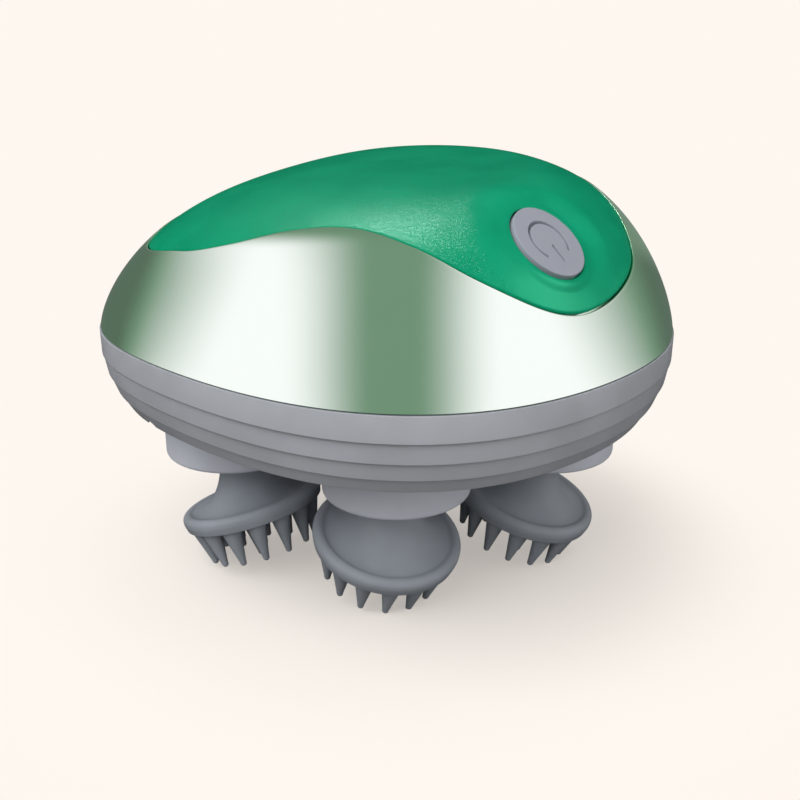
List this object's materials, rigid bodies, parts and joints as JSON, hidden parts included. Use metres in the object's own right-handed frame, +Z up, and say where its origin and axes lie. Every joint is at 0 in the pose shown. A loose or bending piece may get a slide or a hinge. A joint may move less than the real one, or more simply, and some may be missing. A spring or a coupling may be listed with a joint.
{
  "type": "electric pet massager",
  "caption": "Handheld egg-shaped electric massager with a domed grip, one push button and tilted kneading heads with soft nubs, driven by a gear train.",
  "frame": {"origin": "on the resting plane, under the middle of the housing's outline", "axes": "+X towards the end with the power button, -Y towards the side with the button, +Z up"},
  "size_m": [0.1166, 0.112, 0.0858],
  "materials": {
    "plated_shell": "pale green metallised coating on moulded plastic, satin mirror",
    "soft_grip": "green soft-touch skin with a fine leathery grain",
    "base_plastic": "satin grey moulded plastic",
    "collar_plastic": "satin light grey moulded plastic",
    "button_plastic": "satin grey moulded plastic",
    "silicone": "smooth matt blue-grey silicone",
    "dark_rubber": "matt black rubber",
    "black_plastic": "black moulded plastic",
    "white_nylon": "natural white moulded nylon",
    "bronze": "sintered bronze",
    "steel": "bright plated steel",
    "circuit_board": "green solder mask on glass laminate",
    "battery_sleeve": "blue shrink sleeve on a metal cell"
  },
  "bodies": {
    "housing": {"upper_shell": "plated_shell", "grip_inlay": "soft_grip", "base_shell": "base_plastic", "shell_gasket": "dark_rubber", "button_seal": "dark_rubber", "tact_switch": "black_plastic", "switch_board": "circuit_board", "head_collar_front": "collar_plastic", "head_collar_right": "collar_plastic", "head_collar_back": "collar_plastic", "head_collar_left": "collar_plastic", "spindle_bush_front": "bronze", "spindle_bush_right": "bronze", "spindle_bush_back": "bronze", "spindle_bush_left": "bronze", "gear_deck": "white_nylon", "motor_gearbox": "steel", "motor_can": "steel", "motor_screw_right": "steel", "motor_screw_left": "steel", "idler_pin_right": "steel", "idler_pin_left": "steel", "battery": "battery_sleeve", "battery_cradle": "white_nylon", "circuit_board": "circuit_board", "charge_socket": "steel", "deck_screw_1": "steel", "deck_screw_2": "steel", "deck_screw_3": "steel", "deck_screw_4": "steel", "housing_screw_1": "steel", "housing_screw_2": "steel", "housing_screw_3": "steel", "housing_screw_4": "steel"},
    "button": {"power_button": "button_plastic"},
    "drive": {"drive_pinion": "steel", "motor_shaft": "steel"},
    "idler_right": {"idler_gear_right": "white_nylon"},
    "idler_left": {"idler_gear_left": "white_nylon"},
    "head_front": {"output_gear_front": "white_nylon", "spindle_front": "steel", "spindle_clip_front": "steel", "head_bell_front": "silicone", "nub_pad_front": "silicone"},
    "head_right": {"output_gear_right": "white_nylon", "spindle_right": "steel", "spindle_clip_right": "steel", "head_bell_right": "silicone", "nub_pad_right": "silicone"},
    "head_back": {"output_gear_back": "white_nylon", "spindle_back": "steel", "spindle_clip_back": "steel", "head_bell_back": "silicone", "nub_pad_back": "silicone"},
    "head_left": {"output_gear_left": "white_nylon", "spindle_left": "steel", "spindle_clip_left": "steel", "head_bell_left": "silicone", "nub_pad_left": "silicone"}
  },
  "joints": [
    {"name": "head_front_spin", "type": "hinge", "parent": "housing", "child": "head_front", "pos_m": [0.0022, -0.02095, 0.03], "axis": [0, 0, 1], "continuous": true},
    {"name": "head_right_spin", "type": "hinge", "parent": "housing", "child": "head_right", "pos_m": [0.0337, 0, 0.03], "axis": [0, 0, 1], "continuous": true},
    {"name": "head_back_spin", "type": "hinge", "parent": "housing", "child": "head_back", "pos_m": [-0.0008, 0.02095, 0.03], "axis": [0, 0, 1], "continuous": true},
    {"name": "head_left_spin", "type": "hinge", "parent": "housing", "child": "head_left", "pos_m": [-0.0323, 0, 0.03], "axis": [0, 0, 1], "continuous": true},
    {"name": "idler_right_spin", "type": "hinge", "parent": "housing", "child": "idler_right", "pos_m": [0.0147, 0, 0.0451], "axis": [0, 0, 1], "continuous": true},
    {"name": "idler_left_spin", "type": "hinge", "parent": "housing", "child": "idler_left", "pos_m": [-0.0133, 0, 0.0451], "axis": [0, 0, 1], "continuous": true},
    {"name": "drive_spin", "type": "hinge", "parent": "housing", "child": "drive", "pos_m": [0.0007, 0, 0.0451], "axis": [0, 0, 1], "continuous": true},
    {"name": "button_press", "type": "slide", "parent": "housing", "child": "button", "axis": [-0.505, 0.439, -0.7431], "range_m": [0, 0.0007], "stiffness_N_per_m": 1500, "springref_m": -0.0003}
  ],
  "couplings": [
    {"joint": "head_back_spin", "follows": "head_front_spin", "ratio": 1},
    {"joint": "head_right_spin", "follows": "head_front_spin", "ratio": -1},
    {"joint": "head_left_spin", "follows": "head_front_spin", "ratio": -1},
    {"joint": "drive_spin", "follows": "head_front_spin", "ratio": -1.625},
    {"joint": "idler_right_spin", "follows": "head_front_spin", "ratio": 2.1667},
    {"joint": "idler_left_spin", "follows": "head_front_spin", "ratio": 2.1667}
  ]
}
